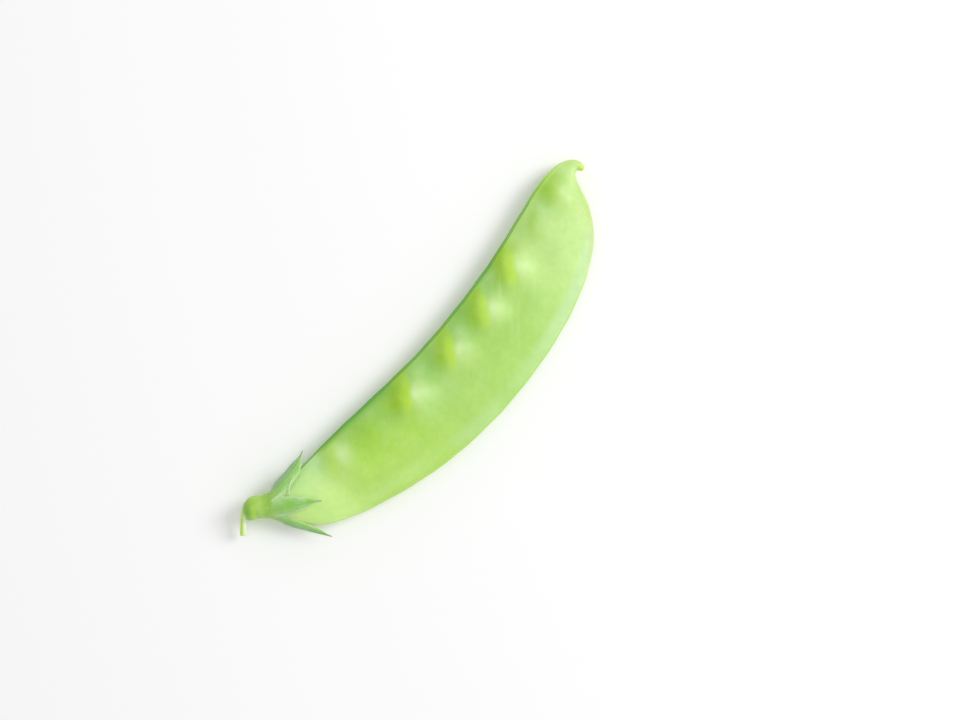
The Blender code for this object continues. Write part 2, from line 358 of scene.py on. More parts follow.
podShape = {
    # seed suture x and y, belly x and y, half thickness: mm, from the stalk to the beak
    "stations": [
        (0.45, 0.79, -0.27, -0.05, 0.50),
        (1.68, 0.38, 0.30, -1.20, 0.90),
        (2.90, -0.15, 0.95, -2.30, 1.15),
        (4.60, -0.25, 2.20, -5.00, 1.40),
        (7.40, -0.35, 4.60, -9.40, 1.60),
        (11.8, -0.35, 9.40, -12.8, 1.90),
        (19.0, -0.50, 17.5, -16.15, 2.20),
        (29.0, -1.10, 28.5, -19.05, 2.40),
        (40.0, -1.60, 40.0, -20.2, 2.50),
        (51.0, -1.10, 51.5, -19.75, 2.45),
        (61.5, 0.15, 62.5, -17.9, 2.30),
        (70.5, 1.90, 71.7, -14.75, 2.00),
        (77.0, 3.25, 78.4, -10.45, 1.60),
        (81.0, 3.55, 81.75, -5.90, 1.25),
        (83.5, 3.25, 82.95, -2.70, 1.00),
        (85.3, 2.40, 83.7, -0.80, 0.80),
        (86.4, 1.10, 84.6, 0.00, 0.62),
        (86.5, -0.10, 85.1, -0.20, 0.52),
        (86.15, -0.85, 85.35, -0.80, 0.42),
    ],
    "length": 86.0,
    "beakX": 85.9,
    "rings": 64,
    "bow": 0.6,  # how far the middle arches up
    "twist": 5.0,  # degrees at the beak
    "unevenness": 0.05,  # in the width, so that the edges waver
    "unevenFrom": (6, 14),
    "unevenTo": (82, 74),
    # half of the section, from the seed suture's ridge to the belly's: across and up
    "section": [
        (1.000, 0.000), (0.995, 0.085), (0.981, 0.130), (0.964, 0.150), (0.935, 0.215),
        (0.870, 0.345), (0.760, 0.545), (0.600, 0.745), (0.380, 0.915), (0.110, 1.000),
        (-0.180, 0.985), (-0.450, 0.865), (-0.680, 0.660), (-0.840, 0.430), (-0.935, 0.245),
        (-0.976, 0.140), (-0.992, 0.085), (-1.000, 0.000),
    ],
    # which points of the section are in a groove, and where along the pod the grooves fill in
    "grooves": (0.9, 0.985),
    "filledAtBeak": (70, 82),
    "filledAtStalk": (8, 3),
    "fill": 0.55,
    # how far each pea swells both sides, and how clearly its painted highlight (its pale top), the
    # yellow glow painted beside it on the side turned from the light, and the olive shade painted
    # beyond show
    "peas": [
        {"at": (16.3, -4.2), "swell": 0.55, "radius": 3.5,
         "top": 0.60, "shadedSideGlow": 0.40, "oliveShade": 0.30},
        {"at": (25.0, -5.3), "swell": 0.40, "radius": 3.2,
         "top": 0.05, "shadedSideGlow": 0.10, "oliveShade": 0.15},
        {"at": (33.6, -6.0), "swell": 1.40, "radius": 3.5,
         "top": 1.00, "shadedSideGlow": 0.85, "oliveShade": 0.95},
        {"at": (44.9, -6.3), "swell": 1.25, "radius": 3.4,
         "top": 0.90, "shadedSideGlow": 0.85, "oliveShade": 0.85},
        {"at": (54.5, -5.7), "swell": 1.15, "radius": 3.4,
         "top": 0.85, "shadedSideGlow": 0.75, "oliveShade": 0.90},
        {"at": (63.4, -4.0), "swell": 1.20, "radius": 3.4,
         "top": 0.62, "shadedSideGlow": 0.88, "oliveShade": 1.00},
        {"at": (72.5, -2.6), "swell": 0.35, "radius": 2.8,
         "top": 0.25, "shadedSideGlow": 0.10, "oliveShade": 0.30},
        {"at": (79.1, -0.6), "swell": 0.60, "radius": 3.0,
         "top": 0.65, "shadedSideGlow": 0.10, "oliveShade": 0.45},
    ],
    "swellTop": 0.92,
    "swellUnder": 0.66,  # flatter where it lies
    # each swelling is raised in steps from a seat: share of its height, reach and seat in radii
    "swellSteps": [(0.55, 1.7, 0.24), (0.45, 1.1, 0.28)],
    "seatStretch": (0.9, 1.15),
    "seatFacing": 0.2,  # how far a face has to look up, or down, to be in the seat
}


def podStations():
    stations = []
    rows = throughStations(podShape["stations"], podShape["rings"])
    for n, (sx, sy, bx, by, thick) in enumerate(rows):
        x, y = (sx + bx) / 2, (sy + by) / 2
        grown = min(1.0, max(0.0, x / podShape["beakX"]))
        half = math.hypot(sx - bx, sy - by) / 2
        waver = math.sin(n * 1.7) + 0.7 * math.sin(n * 2.9 + 1.1)
        free = fade(x, *podShape["unevenFrom"]) * fade(x, *podShape["unevenTo"])
        half += podShape["unevenness"] * waver * free
        yaw = Matrix.Rotation(math.atan2(bx - sx, sy - by), 3, "Z")
        roll = Matrix.Rotation(math.radians(podShape["twist"] * grown**1.5), 3, "X")
        centre = (x, y, podShape["bow"] * math.sin(math.pi * grown))
        stations.append(station(centre, yaw @ roll, half, thick))
    return stations


def makePod():
    top = podShape["section"]
    ring = top + [(across, -up) for across, up in reversed(top[1:-1])]
    outline = [Vector((0, across, up)) * mm for across, up in ring]
    piece = drawLine("podSkin", outline, closed=True)
    stations = podStations()
    sweepDrawn(stations)
    fillGrooves(piece, ring, stations)
    closeEnds(piece, len(ring))
    bpy.ops.object.mode_set(mode="OBJECT")
    # across: 1 at the seed suture, -1 at the belly, 0 at the middle point of each end
    count = len(piece.data.vertices) - 2
    paintMask(piece, "across", [ring[i % len(ring)][0] for i in range(count)] + [0.0, 0.0])
    subdivide(piece, 1)
    swellPeas(piece)
    subdivide(piece, 1)
    paintPod(piece)
    return piece


def fillGrooves(piece, ring, stations):
    # the grooves beside the sutures fill in towards the beak and the stalk
    sides = len(ring)
    inner, outer = podShape["grooves"]
    grooves = [k for k, (across, up) in enumerate(ring) if inner < abs(across) < outer]
    for n, place in enumerate(stations):
        x = place["centre"].x / mm
        filled = max(fade(x, *podShape["filledAtBeak"]), fade(x, *podShape["filledAtStalk"]))
        if filled > 0:
            selectVerts(piece, lambda v: v.index // sides == n and v.index % sides in grooves)
            taller = (1, 1, 1 + podShape["fill"] * filled)
            bpy.ops.transform.resize(value=taller, center_override=place["centre"])


def swellPeas(piece):
    # each pea presses both halves of the pod outwards
    bpy.ops.object.mode_set(mode="EDIT")
    facing, (stretchX, stretchY) = podShape["seatFacing"], podShape["seatStretch"]
    for pea in podShape["peas"]:
        (x, y), radius = pea["at"], pea["radius"]
        for side, swell in ((1, podShape["swellTop"]), (-1, podShape["swellUnder"])):
            for share, reach, seat in podShape["swellSteps"]:
                selectVerts(piece, lambda v: v.normal.z * side > facing and math.hypot(
                    (v.co.x / mm - x) / stretchX, (v.co.y / mm - y) / stretchY) < seat * radius)
                bpy.ops.transform.translate(
                    value=(0, 0, side * swell * share * pea["swell"] * mm),
                    use_proportional_edit=True, proportional_edit_falloff="SMOOTH",
                    proportional_size=reach * radius * mm, use_proportional_connected=True)
    bpy.ops.object.mode_set(mode="OBJECT")


# a spot of colour is x, y, size and strength; a zone is a colour, its share, where it shows along
# the pod (0 at the stalk, 1 at the beak) and across it (1 at the seed suture, -1 at the belly);
# a zone's edges are two, empty and full, or four for a hump, and None is all the way
podLook = {
    "colors": {
        "skin": (0.445, 0.715, 0.148), "shadeGreen": (0.315, 0.61, 0.105), "warm": (0.385, 0.69, 0.062),
        "pale": (0.59, 0.83, 0.32), "calyxEndPaleAndLit": (0.67, 0.94, 0.35), "fresh": (0.56, 0.84, 0.15),
        "bellyHighlight": (0.56, 0.78, 0.40), "beakPale": (0.66, 0.83, 0.40),
        # below: the pale colour of each pea's painted highlight, pale patches partly painted
        # light, and the painted glow on each pea's side turned from the light
        "pea": (0.76, 0.91, 0.48), "mintAndLight": (0.60, 0.90, 0.42), "shadedSideGlow": (0.56, 0.85, 0.05),
        "oliveShade": (0.355, 0.64, 0.025), "edgeShade": (0.13, 0.47, 0.05),
        "sutureGrooveShade": (0.10, 0.32, 0.03), "sutureRidge": (0.25, 0.51, 0.09),
        "bellyRim": (0.44, 0.68, 0.10), "beakRim": (0.60, 0.66, 0.30),
        "beakEnd": (0.60, 0.78, 0.08), "edgeBrown": (0.42, 0.43, 0.12),
        "vein": (0.60, 0.83, 0.33), "streak": (0.62, 0.84, 0.36),
    },
    "ground": [
        # painted shade: greener and darker on the seed-suture side, which lies away from the key
        # light
        ("shadeGreen", 1.0, (0.17, 0.27, 0.66, 0.80), (0.0, 0.7)),
        ("warm", 1.0, (0.15, 0.24, 0.34, 0.47), (-0.75, -0.1, 0.6, 0.95)),
        ("pale", 0.54, (0.64, 0.85, 0.88, 0.96), None),
        # painted light: paler over the belly half near the stalk, which faces away from the key
        # light
        ("pale", 0.40, (0.37, 0.28), (-0.45, -0.75)),
        # paler towards the calyx: partly its own paleness, partly painted light that lifts the
        # shade there
        ("calyxEndPaleAndLit", 0.95, (0.19, 0.11), None),
        # the same green, a little darker over the middle of the belly half
        ("shadeGreen", 0.25, (0.46, 0.53, 0.72, 0.80), (0.2, 0.0)),
        ("fresh", 0.30, (0.45, 0.33), (0.45, -0.2)),
        # painted highlight along the belly side, which faces the key light
        ("bellyHighlight", 0.80, (0.42, 0.80, 0.88, 0.94), (-0.985, -0.95, -0.84, -0.60)),
        ("bellyHighlight", 0.40, (0.34, 0.41, 0.46, 0.54), (-0.985, -0.95, -0.84, -0.60)),
        ("beakPale", 0.45, (0.935, 0.975), (-0.75, -0.35)),
        ("beakRim", 0.35, (0.87, 0.94), (-0.10, -0.60)),
    ],
    "blotches": {"scale": 300.0, "least": 0.35},  # they break up the warm zone
    # what paintPod paints, and how much of the colour each mask brings: pale patches, partly
    # painted light, and each pea's painted shade, painted highlight and painted glow
    "masks": {"mintAndLight": 1.0, "oliveShade": 1.0, "pea": 0.85, "shadedSideGlow": 0.95},
    # pale spots: partly the skin's own pale mint patches, partly painted light on the lit sides of
    # the pea domes
    "mintAndLightSpots": [
        (12.8, -1.7, 2.2, 0.90), (16.9, -3.0, 1.7, 0.55), (9.0, -1.5, 3.0, 0.35),
        (38.0, -4.2, 1.8, 0.30), (48.3, -4.6, 1.6, 0.35), (59.0, -1.5, 1.6, 0.25),
        (36.5, -8.5, 2.4, 0.35), (75.0, -0.2, 1.6, 0.45), (56.2, -1.2, 1.7, 0.50),
        (46.0, -2.0, 1.5, 0.30), (25.5, -2.2, 1.8, 0.20), (34.5, -10.8, 2.8, 0.25),
        (39.5, -9.5, 2.8, 0.20),
    ],
    "oliveShadeSpots": [  # painted olive shade, added to the peas' painted shade
        (78.0, 1.3, 2.2, 0.75), (76.0, 2.6, 1.2, 0.40), (80.2, 2.3, 1.2, 0.40),
        (51.6, -4.6, 1.5, 0.30), (20.5, -7.0, 3.0, 0.25), (65.4, -1.0, 1.5, 0.60),
    ],
    "beakTip": (85.9, -0.75),
    "beakTipReach": (1.3, 0.4),
    # round a pea, in shares of its radius; right and up are the pod's x and y, turned by the
    # slant, a cosine and a sine, so that right points towards the key light
    "highlightOffset": (0.8, -0.1),  # where the painted highlight sits, in mm from the pea's middle; the glow and shade are placed from it
    "peaSlant": (0.68, 0.73),
    # the painted highlight: a broad pale patch, and a small bright core where the light glints
    "highlightSpots": [
        {"share": 0.58, "middle": (0.14, -0.05), "size": (0.56, 0.80)},
        {"share": 0.42, "middle": (0.0, 0.0), "size": (0.26, 0.34)},
    ],
    # an arc is longer than wide by its stretch; way is where its middle stands, inwards and
    # outwards how far it spreads, ends how it fades round its ends, clear the gap inside it;
    # both stand on the side turned from the key light: the first a painted glow, the second
    # painted shade
    "shadedSideGlow": {"stretch": 1.65, "way": (-0.96, -0.28), "radius": 0.50, "inwards": 0.42,
                 "outwards": 0.32, "ends": (0.05, 0.85), "clear": 0.25},
    "oliveShade": {"stretch": 1.35, "way": (-0.99, 0.10), "radius": 1.00, "inwards": 0.34,
               "outwards": 0.34, "ends": (0.40, 0.90), "clear": 0.01},
    # faint slanting fibres inside the valve: degrees, and length and width as parts of a metre
    "fibres": {"turn": 43, "size": (1 / 90, 1 / 560, 1 / 90), "share": 0.22},
    "veinShare": 0.045,
    "clouds": {"Scale": 130.0, "Amount": 0.36},
    "grain": {"Cell Scale": 3200.0, "Vein Scale": 700.0, "Vein Share": 0.25},
    "grainDepth": 0.02,
    "edges": [
        ("edgeShade", 0.60, (0.15, 0.20, 0.35, 0.40), (0.82, 0.96)),
        ("edgeShade", 0.40, (0.63, 0.68, 0.70, 0.74), (0.84, 0.97)),
        # painted shade in the groove beside the seed suture
        ("sutureGrooveShade", 0.80, (0.97, 0.84), (0.945, 0.968, 0.985, 0.997)),
        ("sutureRidge", 0.80, (0.96, 0.90), (0.985, 0.998)),
        # yellower and darker towards the belly rim, here and near the beak: partly its own colour,
        # partly painted shade
        ("bellyRim", 0.50, (0.08, 0.22, 0.36, 0.46), (-0.84, -0.95)),
        ("beakRim", 0.35, (0.80, 0.88), (-0.82, -0.93)),
        ("bellyRim", 0.80, None, (-0.975, -0.993)),
        ("edgeBrown", 0.55, (0.05, 0.08, 0.13, 0.18), (-0.982, -0.997)),
        ("beakRim", 0.60, (0.91, 0.95), (0.90, 0.98)),
    ],
    "roughness": (0.36, 0.50),  # least and most
    "shader": {"Subsurface Weight": 0.35, "Subsurface Scale": 0.002, "Sheen Weight": 0.12,
               "Sheen Roughness": 0.5},
}


def softSpot(right, up, spot):
    (middleRight, middleUp), (width, height) = spot["middle"], spot["size"]
    right, up = (right - middleRight) / width, (up - middleUp) / height
    return spot["share"] * math.exp(-right**2 - up**2)


def softArc(right, up, arc):
    up /= arc["stretch"]
    far = math.hypot(right, up) + 1e-6
    facing = (arc["way"][0] * right + arc["way"][1] * up) / far
    spread = arc["inwards"] if far < arc["radius"] else arc["outwards"]
    ring = math.exp(-((far - arc["radius"]) / spread)**2) * fade(far, 0.0, arc["clear"])
    return ring * fade(facing, *arc["ends"])


def peaColour(x, y):
    # how much of a pea's painted highlight, the painted glow on its side turned from the light and
    # the painted shade beyond it shows at a place
    (offsetX, offsetY), (cosine, sine) = podLook["highlightOffset"], podLook["peaSlant"]
    top = shadedSideGlow = oliveShade = 0.0
    for pea in podShape["peas"]:
        dx = (x - pea["at"][0] - offsetX) / pea["radius"]
        dy = (y - pea["at"][1] - offsetY) / pea["radius"]
        right, up = cosine * dx - sine * dy, sine * dx + cosine * dy
        pale = sum(softSpot(right, up, spot) for spot in podLook["highlightSpots"])
        top = max(top, pea["top"] * pale)
        shadedSideGlow = max(shadedSideGlow, pea["shadedSideGlow"] * softArc(right, up, podLook["shadedSideGlow"]))
        oliveShade = max(oliveShade, pea["oliveShade"] * softArc(right, up, podLook["oliveShade"]))
    return top, shadedSideGlow, oliveShade


def spotColour(spots, x, y):
    return max(strength * math.exp(-math.hypot(x - spotX, y - spotY)**2 / size**2)
               for spotX, spotY, size, strength in spots)


def paintPod(piece):
    # along: 0 at the stalk, 1 at the beak
    masks = {"along": [], "pea": [], "shadedSideGlow": [], "oliveShade": [], "mintAndLight": [], "beakEnd": []}
    tipX, tipY = podLook["beakTip"]
    for v in piece.data.vertices:
        x, y = v.co.x / mm, v.co.y / mm
        # each pea's painted highlight, the painted glow on its side turned from the light and the
        # painted shade beyond it
        top, shadedSideGlow, oliveShade = peaColour(x, y)
        masks["along"].append(x / podShape["length"])
        masks["pea"].append(top)
        masks["shadedSideGlow"].append(shadedSideGlow)
        masks["oliveShade"].append(max(oliveShade, spotColour(podLook["oliveShadeSpots"], x, y)))
        # pale patches: partly the skin's own, partly painted light on the lit sides of the pea
        # domes
        masks["mintAndLight"].append(spotColour(podLook["mintAndLightSpots"], x, y))
        masks["beakEnd"].append(fade(math.hypot(x - tipX, y - tipY), *podLook["beakTipReach"]))
    for name, values in masks.items():
        paintMask(piece, name, values)


def paintZones(tree, color, zones, blotches):
    along, across = maskOf(tree, "along"), maskOf(tree, "across")
    for name, share, alongEdges, acrossEdges in zones:
        masks = [blotches] if name == "warm" else []
        masks += [zone(tree, along, alongEdges)] if alongEdges else []
        masks += [zone(tree, across, acrossEdges)] if acrossEdges else []
        color = tinted(tree, color, podLook["colors"][name], share, masks)
    return color


def makePodSkin():
    material, tree, shader, place = newSkin("podSkin", podLook["shader"])
    colors, fibres = podLook["colors"], podLook["fibres"]
    patchy = noise(tree, place, podLook["blotches"]["scale"], 3.0, 0.6)
    blotches = ramp(tree, patchy, 0.36, 0.60, podLook["blotches"]["least"], 1.0)
    color = paintZones(tree, colors["skin"], podLook["ground"], blotches)
    # the pale patches, partly painted light, and each pea's painted shade, highlight and glow
    for name, share in podLook["masks"].items():
        color = tinted(tree, color, colors[name], share, [maskOf(tree, name)])
    # the fibres show here and there
    slant = addNode(tree, "ShaderNodeMapping", {
        "Vector": place, "Rotation": (0, 0, math.radians(fibres["turn"])),
        "Scale": fibres["size"]}, vector_type="TEXTURE")
    streaks = ramp(tree, noise(tree, slant.outputs[0], 1.0, 3.0, 0.6), 0.50, 0.75)
    patches = ramp(tree, noise(tree, place, 90.0, 1.0), 0.45, 0.65)
    color = tinted(tree, color, colors["streak"], fibres["share"], [streaks, patches])
    grain = useGroup(tree, fineGrain, {"Vector": place, **podLook["grain"]})
    color = tinted(tree, color, colors["vein"], podLook["veinShare"], [grain["Veins"]])
    color = clouded(tree, place, color, podLook["clouds"])
    color = paintZones(tree, color, podLook["edges"], blotches)
    color = tinted(tree, color, colors["beakEnd"], 1.0, [maskOf(tree, "beakEnd")])
    rough = ramp(tree, noise(tree, place, 900.0, 3.0), 0.25, 0.75, *podLook["roughness"])
    feedShader(tree, shader, color, grain["Height"], podLook["grainDepth"] * mm, rough)
    return material


# the calyx: one cup whose rim goes on into five leaves

calyxShape = {
    "mouth": (1.75, -1.07, 0.0),
    "axis": (0.756, -0.655),
    # distance along the cup's axis from the mouth, and radius
    "cup": [(-2.7, 1.98), (-2.4, 2.06), (-2.0, 2.11), (-1.4, 2.11), (-0.8, 2.15),
            (-0.25, 2.26), (0.15, 2.40)],
    # half of a leaf's section, in half widths: across, and how far a vein stands out
    "ribs": [(0.0, 0.075), (0.09, 0.035), (0.2, 0.0), (0.33, 0.0), (0.42, 0.04), (0.51, 0.0),
             (0.68, 0.0), (0.84, 0.02), (1.0, -0.02)],
    "ribsOnCup": 0.6,
    "rows": 14,
    "unevenness": 0.05,  # how far the rim's and the leaves' points are shaken, in mm
    "thickness": 0.24,
    "thinnest": 0.35,  # the least thickness, as a share
    "thinToTip": 0.6,
    # how far along a leaf, and its width there as a share of the width given below
    "wideBase": [(0.0, 1.0), (0.10, 1.32), (0.20, 1.34), (0.34, 1.14), (0.50, 0.95),
                 (0.66, 0.78), (0.80, 0.55), (0.89, 0.32), (0.96, 0.13), (1.0, 0.04)],
    "shouldered": [(0.0, 0.92), (0.07, 1.16), (0.14, 1.24), (0.32, 1.08), (0.46, 0.94),
                   (0.58, 0.88), (0.70, 0.80), (0.77, 0.66), (0.83, 0.40), (0.89, 0.19),
                   (0.95, 0.09), (1.0, 0.03)],
    "full": [(0.0, 0.80), (0.14, 0.92), (0.28, 1.0), (0.40, 0.98), (0.50, 0.89), (0.60, 0.74),
             (0.70, 0.55), (0.80, 0.34), (0.90, 0.16), (0.96, 0.08), (1.0, 0.03)],
    "rollBy": 0.45,  # how far along a leaf its roll and its fold are complete
    "foldBy": 0.3,
    # around: degrees about the cup; tip in mm; leave: how it starts, along the cup and outwards;
    # lift: how its outer half is drawn aside; fold: on its keel; roll: degrees, about its own
    # length; dusky: which edge is darker, -1 the first and 1 the last, and how far in it reaches
    "leaves": {
        "sutureTop": {
            "around": 37, "tip": (13.0, 1.50, 2.1), "leave": (1.0, 0.85),
            "lift": (-0.15, -1.65, 0.50), "width": 3.0, "fold": 1.2, "roll": 28,
            "outline": "shouldered", "dusky": (-1, 0.30)},
        "sideTop": {
            "around": 106, "tip": (8.75, -7.35, 3.4), "leave": (1.0, 0.4),
            "lift": (0.15, 0.6, 0.65), "width": 3.8, "fold": 1.25, "roll": -8,
            "outline": "full", "dusky": (0, 0.0)},
        "belly": {
            "around": 180, "tip": (5.25, -13.15, 0.6), "leave": (1.0, 0.35),
            "lift": (0.15, 0.25, 0.45), "width": 1.95, "fold": 1.1, "roll": -58,
            "outline": "wideBase", "dusky": (1, 0.45)},
        "sideUnder": {
            "around": 252, "tip": (8.9, -6.8, -2.3), "leave": (1.0, 0.1),
            "lift": (0.0, 0.0, 0.1), "width": 3.1, "fold": 1.0, "roll": 0,
            "outline": "full", "dusky": (0, 0.0)},
        "sutureUnder": {
            "around": 324, "tip": (10.6, 0.7, -1.9), "leave": (1.0, 0.4),
            "lift": (0.0, -1.0, -0.2), "width": 2.8, "fold": 1.0, "roll": 0,
            "outline": "shouldered", "dusky": (1, 0.30)},
    },
}


def cupAxes():
    x, y = calyxShape["axis"]
    yaw = math.atan2(y, x)
    return Vector((math.cos(yaw), math.sin(yaw), 0)), Vector((-math.sin(yaw), math.cos(yaw), 0))


def onCupAxis(distance):
    return Vector(calyxShape["mouth"]) + cupAxes()[0] * distance


def matrixOf(ahead, out):
    # columns: along X, across Y, up Z
    side = out.cross(ahead).normalized()
    return Matrix((ahead, side, ahead.cross(side))).transposed()


def leafSection():
    half = calyxShape["ribs"]
    return [(-across, rib) for across, rib in reversed(half[1:])] + half


def cupOutline():
    # the leaves' sections side by side round the cup; each shares its last point with the next
    middles = [leaf["around"] for leaf in calyxShape["leaves"].values()]
    outline = []
    for k, middle in enumerate(middles):
        before = middles[k - 1] - (360 if k == 0 else 0)
        after = middles[(k + 1) % len(middles)] + (360 if k == len(middles) - 1 else 0)
        for across, rib in leafSection()[:-1]:
            border = (after - middle) / 2 if across > 0 else (middle - before) / 2
            around = math.radians(middle + across * border)
            outline.append((around, 1 + calyxShape["ribsOnCup"] * rib))
    return [Vector((0, r * math.cos(a), r * math.sin(a))) * mm for a, r in outline]


def leafStations(leaf):
    ahead, toSuture = cupAxes()
    turn = math.radians(leaf["around"])
    out = toSuture * math.cos(turn) + Vector((0, 0, math.sin(turn)))
    distance, radius = calyxShape["cup"][-1]
    a, d = onCupAxis(distance) + out * radius, Vector(leaf["tip"])
    b = a + ahead * leaf["leave"][0] + out * leaf["leave"][1]
    c = (a + d * 2) / 3 + Vector(leaf["lift"])
    startHalf = radius * math.sin(math.pi / len(calyxShape["leaves"]))
    start = station(a, matrixOf(ahead, out), startHalf, startHalf)
    shares, halves = zip(*calyxShape[leaf["outline"]])
    stations = []
    for n in range(1, calyxShape["rows"] + 1):
        t = n / calyxShape["rows"]
        place = a * (1 - t)**3 + b * 3 * t * (1 - t)**2 + c * 3 * t * t * (1 - t) + d * t**3
        way = ((b - a) * (1 - t)**2 + (c - b) * 2 * t * (1 - t) + (d - c) * t * t).normalized()
        roll = math.radians(leaf["roll"]) * fade(t, 0, calyxShape["rollBy"])
        turned = Matrix.Rotation(roll, 3, way) @ out
        half = leaf["width"] / 2 * float(np.interp(t, shares, halves))
        folded = half * (1 + (leaf["fold"] - 1) * fade(t, 0, calyxShape["foldBy"]))
        stations.append(station(place, matrixOf(way, turned), half, folded))
    return start, stations


def makeCalyx():
    outline = cupOutline()
    sides, columns = len(outline), len(leafSection())
    piece = drawLine("calyxLeaves", outline, closed=True)
    ahead, toSuture = cupAxes()
    facing = matrixOf(ahead, Vector((0, 0, 1)))
    sweepDrawn([station(onCupAxis(d), facing, r, r) for d, r in calyxShape["cup"]])
    first = sides * (len(calyxShape["cup"]) - 1)
    for k, leaf in enumerate(calyxShape["leaves"].values()):
        wanted = {first + (k * (columns - 1) + j) % sides for j in range(columns)}
        selectVerts(piece, lambda v: v.index in wanted)
        sweep(*leafStations(leaf))
    bpy.ops.mesh.select_all(action="SELECT")
    bpy.ops.mesh.normals_make_consistent(inside=False)
    selectVerts(piece, lambda v: v.index >= first)
    bpy.ops.transform.vertex_random(
        offset=calyxShape["unevenness"] * mm, uniform=0.6, normal=0.0, seed=7)
    bpy.ops.object.mode_set(mode="OBJECT")
    paintCalyx(piece, sides, columns)
    useModifier(piece, "SOLIDIFY", thickness=calyxShape["thickness"] * mm, offset=-1,
                vertex_group="blade", thickness_vertex_group=calyxShape["thinnest"])
    subdivide(piece, 2)
    return piece


def paintCalyx(piece, sides, columns):
    # along: 0 at the bottom of the cup, 1 at its rim, 2 at a leaf's tip; across: -1 to 1 on a leaf
    section = leafSection()
    rings, rows = len(calyxShape["cup"]), calyxShape["rows"]
    along, across, dusk = [], [], [0.0] * (rings * sides)
    for i in range(rings * sides):
        along.append((i // sides) / (rings - 1))
        across.append(section[i % sides % (columns - 1)][0])
    for leaf in calyxShape["leaves"].values():
        edge, reach = leaf["dusky"]
        for i in range(rows * columns):
            along.append(1 + (i // columns + 1) / rows)
            across.append(section[i % columns][0])
            dusk.append(fade(across[-1] * edge + reach, -0.1, 0.9))
    paintMask(piece, "along", along)
    paintMask(piece, "across", across)
    paintMask(piece, "dusk", dusk)
    # a leaf thins towards its edges and its tip
    blade = piece.vertex_groups.new(name="blade")
    for i, (a, s) in enumerate(zip(along, across)):
        leafy = fade(a, 0.9, 1.2)
        inward = 1 - leafy * abs(s)**3
        outward = 1 - calyxShape["thinToTip"] * leafy * max(0, a - 1)
        blade.add([i], max(0.0, inward * outward), "REPLACE")


leafLook = {
    "colors": {
        "cup": (0.41, 0.69, 0.11), "cupShade": (0.34, 0.64, 0.08), "leaf": (0.33, 0.66, 0.13),
        "bluish": (0.39, 0.68, 0.25), "vein": (0.20, 0.47, 0.12), "keel": (0.27, 0.60, 0.09),
        "margin": (0.58, 0.84, 0.42), "dusk": (0.31, 0.49, 0.29), "tip": (0.48, 0.42, 0.43),
    },
    # how much of each colour shows at most
    "shares": {"vein": 0.38, "keel": 0.75, "margin": 0.7, "dusk": 0.75, "tip": 1.0},
    "veinsAcross": 9.0,
    "clouds": {"Scale": 500.0, "Amount": 0.5},
    "grain": {"Cell Scale": 5000.0, "Vein Scale": 1500.0, "Vein Share": 0.3},
    "grainDepth": 0.04,
    "shader": {"Roughness": 0.5, "Subsurface Weight": 0.2, "Subsurface Scale": 0.001,
               "Sheen Weight": 0.15, "Sheen Roughness": 0.5},
}


def makeLeafSkin():
    material, tree, shader, place = newSkin("leafSkin", leafLook["shader"])
    along, across, dusk = maskOf(tree, "along"), maskOf(tree, "across"), maskOf(tree, "dusk")
    colors = leafLook["colors"]
    side = number(tree, "ABSOLUTE", across)
    patchy = noise(tree, place, 350.0, 2.0)
    leaf = mixColors(tree, ramp(tree, patchy, 0.35, 0.65), colors["leaf"], colors["bluish"])
    # fine veins run lengthwise, closer than the ribs that the mesh has
    spread = addNode(tree, "ShaderNodeCombineXYZ", {
        0: number(tree, "MULTIPLY", across, leafLook["veinsAcross"]),
        1: number(tree, "MULTIPLY", along, 1.2)})
    lines = noise(tree, spread.outputs[0], 1.6, 2.0, 0.7)
    masks = {
        "vein": ramp(tree, lines, 0.50, 0.64), "keel": ramp(tree, side, 0.45, 0.0),
        "margin": ramp(tree, side, 0.45, 0.99), "dusk": dusk, "tip": ramp(tree, along, 1.92, 1.99),
    }
    for name, mask in masks.items():
        leaf = tinted(tree, leaf, colors[name], leafLook["shares"][name], [mask])
    # the cup is yellower, and deepest in green just before the leaves part
    deep = band(tree, along, 0.35, 0.75, 0.95, 1.15)
    cup = mixColors(tree, deep, colors["cup"], colors["cupShade"])
    color = mixColors(tree, ramp(tree, along, 0.9, 1.3), cup, leaf)
    color = clouded(tree, place, color, leafLook["clouds"])
    grain = useGroup(tree, fineGrain, {"Vector": place, **leafLook["grain"]})
    height = number(tree, "ADD", grain["Height"], number(tree, "MULTIPLY", lines, 1.2))
    feedShader(tree, shader, color, height, leafLook["grainDepth"] * mm)
    return material


# stalk

stalkShape = {
    # outer x and y, inner x and y: mm, from inside the calyx to the cut end
    "stations": [
        (1.55, 1.45, -0.90, -1.35), (1.42, 1.98, -1.30, -1.16), (0.96, 2.38, -1.72, -0.88),
        (-0.04, 2.76, -2.40, -0.62), (-1.33, 2.62, -2.92, -0.08), (-2.60, 1.98, -3.16, 0.36),
        (-3.48, 1.34, -3.34, 0.28), (-4.35, 0.66, -3.72, -0.27), (-5.40, -0.26, -4.73, -1.15),
        (-6.05, -0.80, -5.38, -1.65),
    ],
    "rings": 34,
    "sides": 24,
    "drop": 1.5,  # how far the cut end hangs below the pod's middle
}


